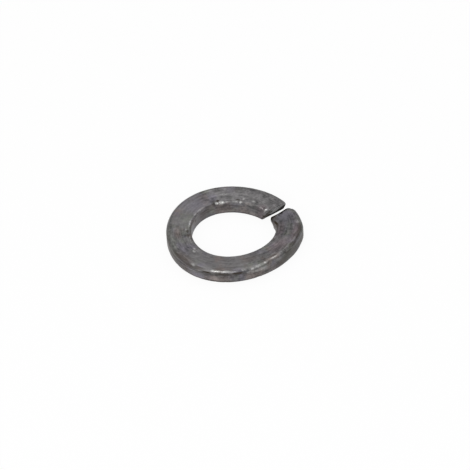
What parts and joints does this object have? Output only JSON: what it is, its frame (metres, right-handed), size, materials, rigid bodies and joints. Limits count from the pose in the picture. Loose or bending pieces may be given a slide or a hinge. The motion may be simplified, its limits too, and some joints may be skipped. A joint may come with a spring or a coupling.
{
  "type": "spring lock washer",
  "caption": "Split ring of rounded rectangular steel bar, cut on a slant, that goes under a bolt head or nut and keeps it from working loose.",
  "frame": {"origin": "on the bore axis, at half the free height of the bore wall", "axes": "+Z along the bore axis, out of the top face; +X from the axis to the split; the raised end is on the +Y side of the split and the low end on the -Y side"},
  "size_m": [0.0202, 0.0202, 0.0028],
  "materials": {
    "spring_washer": "dark oxide, satin, worn bright in spots along the edges"
  },
  "bodies": {
    "root": {"spring_washer": "spring_washer"}
  },
  "joints": []
}
